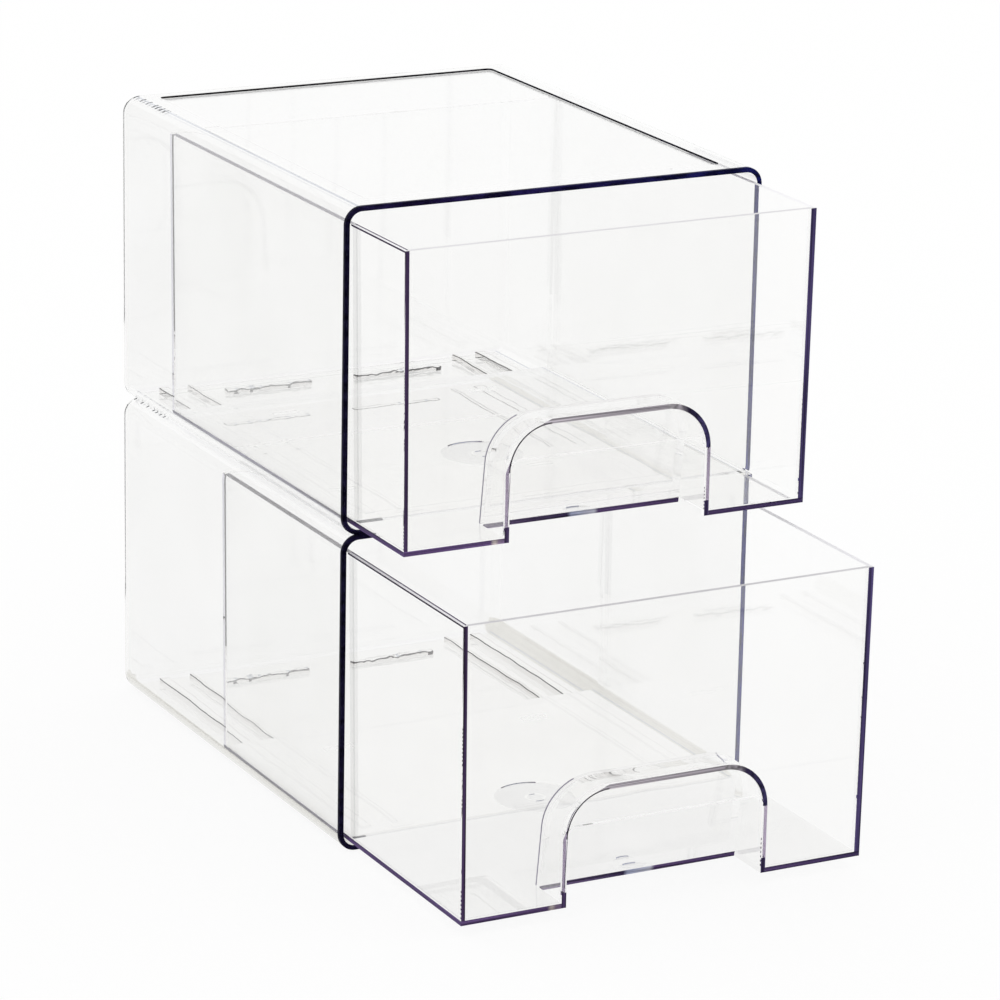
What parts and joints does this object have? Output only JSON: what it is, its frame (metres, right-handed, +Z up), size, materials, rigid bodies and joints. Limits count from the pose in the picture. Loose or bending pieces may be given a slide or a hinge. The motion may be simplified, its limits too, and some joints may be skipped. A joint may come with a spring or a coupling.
{
  "type": "stackable drawer box",
  "caption": "Clear drawer organizer: stacked open-front sleeves with rounded edges, each with a pull-out drawer that has an arched finger pocket.",
  "frame": {"origin": "on the table, under the middle of the stack's box with both drawers part open", "axes": "+X to the right seen from the front, +Y towards the closed back, +Z up; the drawers pull out along -Y"},
  "size_m": [0.229, 0.397, 0.327],
  "materials": {
    "sleeve_plastic": "clear, polished, rigid moulding",
    "drawer_plastic": "clear, polished, rigid moulding"
  },
  "bodies": {
    "lower_sleeve": {"lower_sleeve": "sleeve_plastic"},
    "lower_drawer": {"lower_drawer": "drawer_plastic"},
    "upper_sleeve": {"upper_sleeve": "sleeve_plastic"},
    "upper_drawer": {"upper_drawer": "drawer_plastic"}
  },
  "joints": [
    {"name": "lower_drawer_slide", "type": "slide", "parent": "lower_sleeve", "child": "lower_drawer", "axis": [0, -1, 0], "range_m": [-0.124, 0.111]},
    {"name": "upper_unit_lift", "type": "slide", "parent": "lower_sleeve", "child": "upper_sleeve", "axis": [0, 0, 1], "range_m": [0, 0.12]},
    {"name": "upper_drawer_slide", "type": "slide", "parent": "upper_sleeve", "child": "upper_drawer", "axis": [0, -1, 0], "range_m": [-0.058, 0.177]}
  ]
}
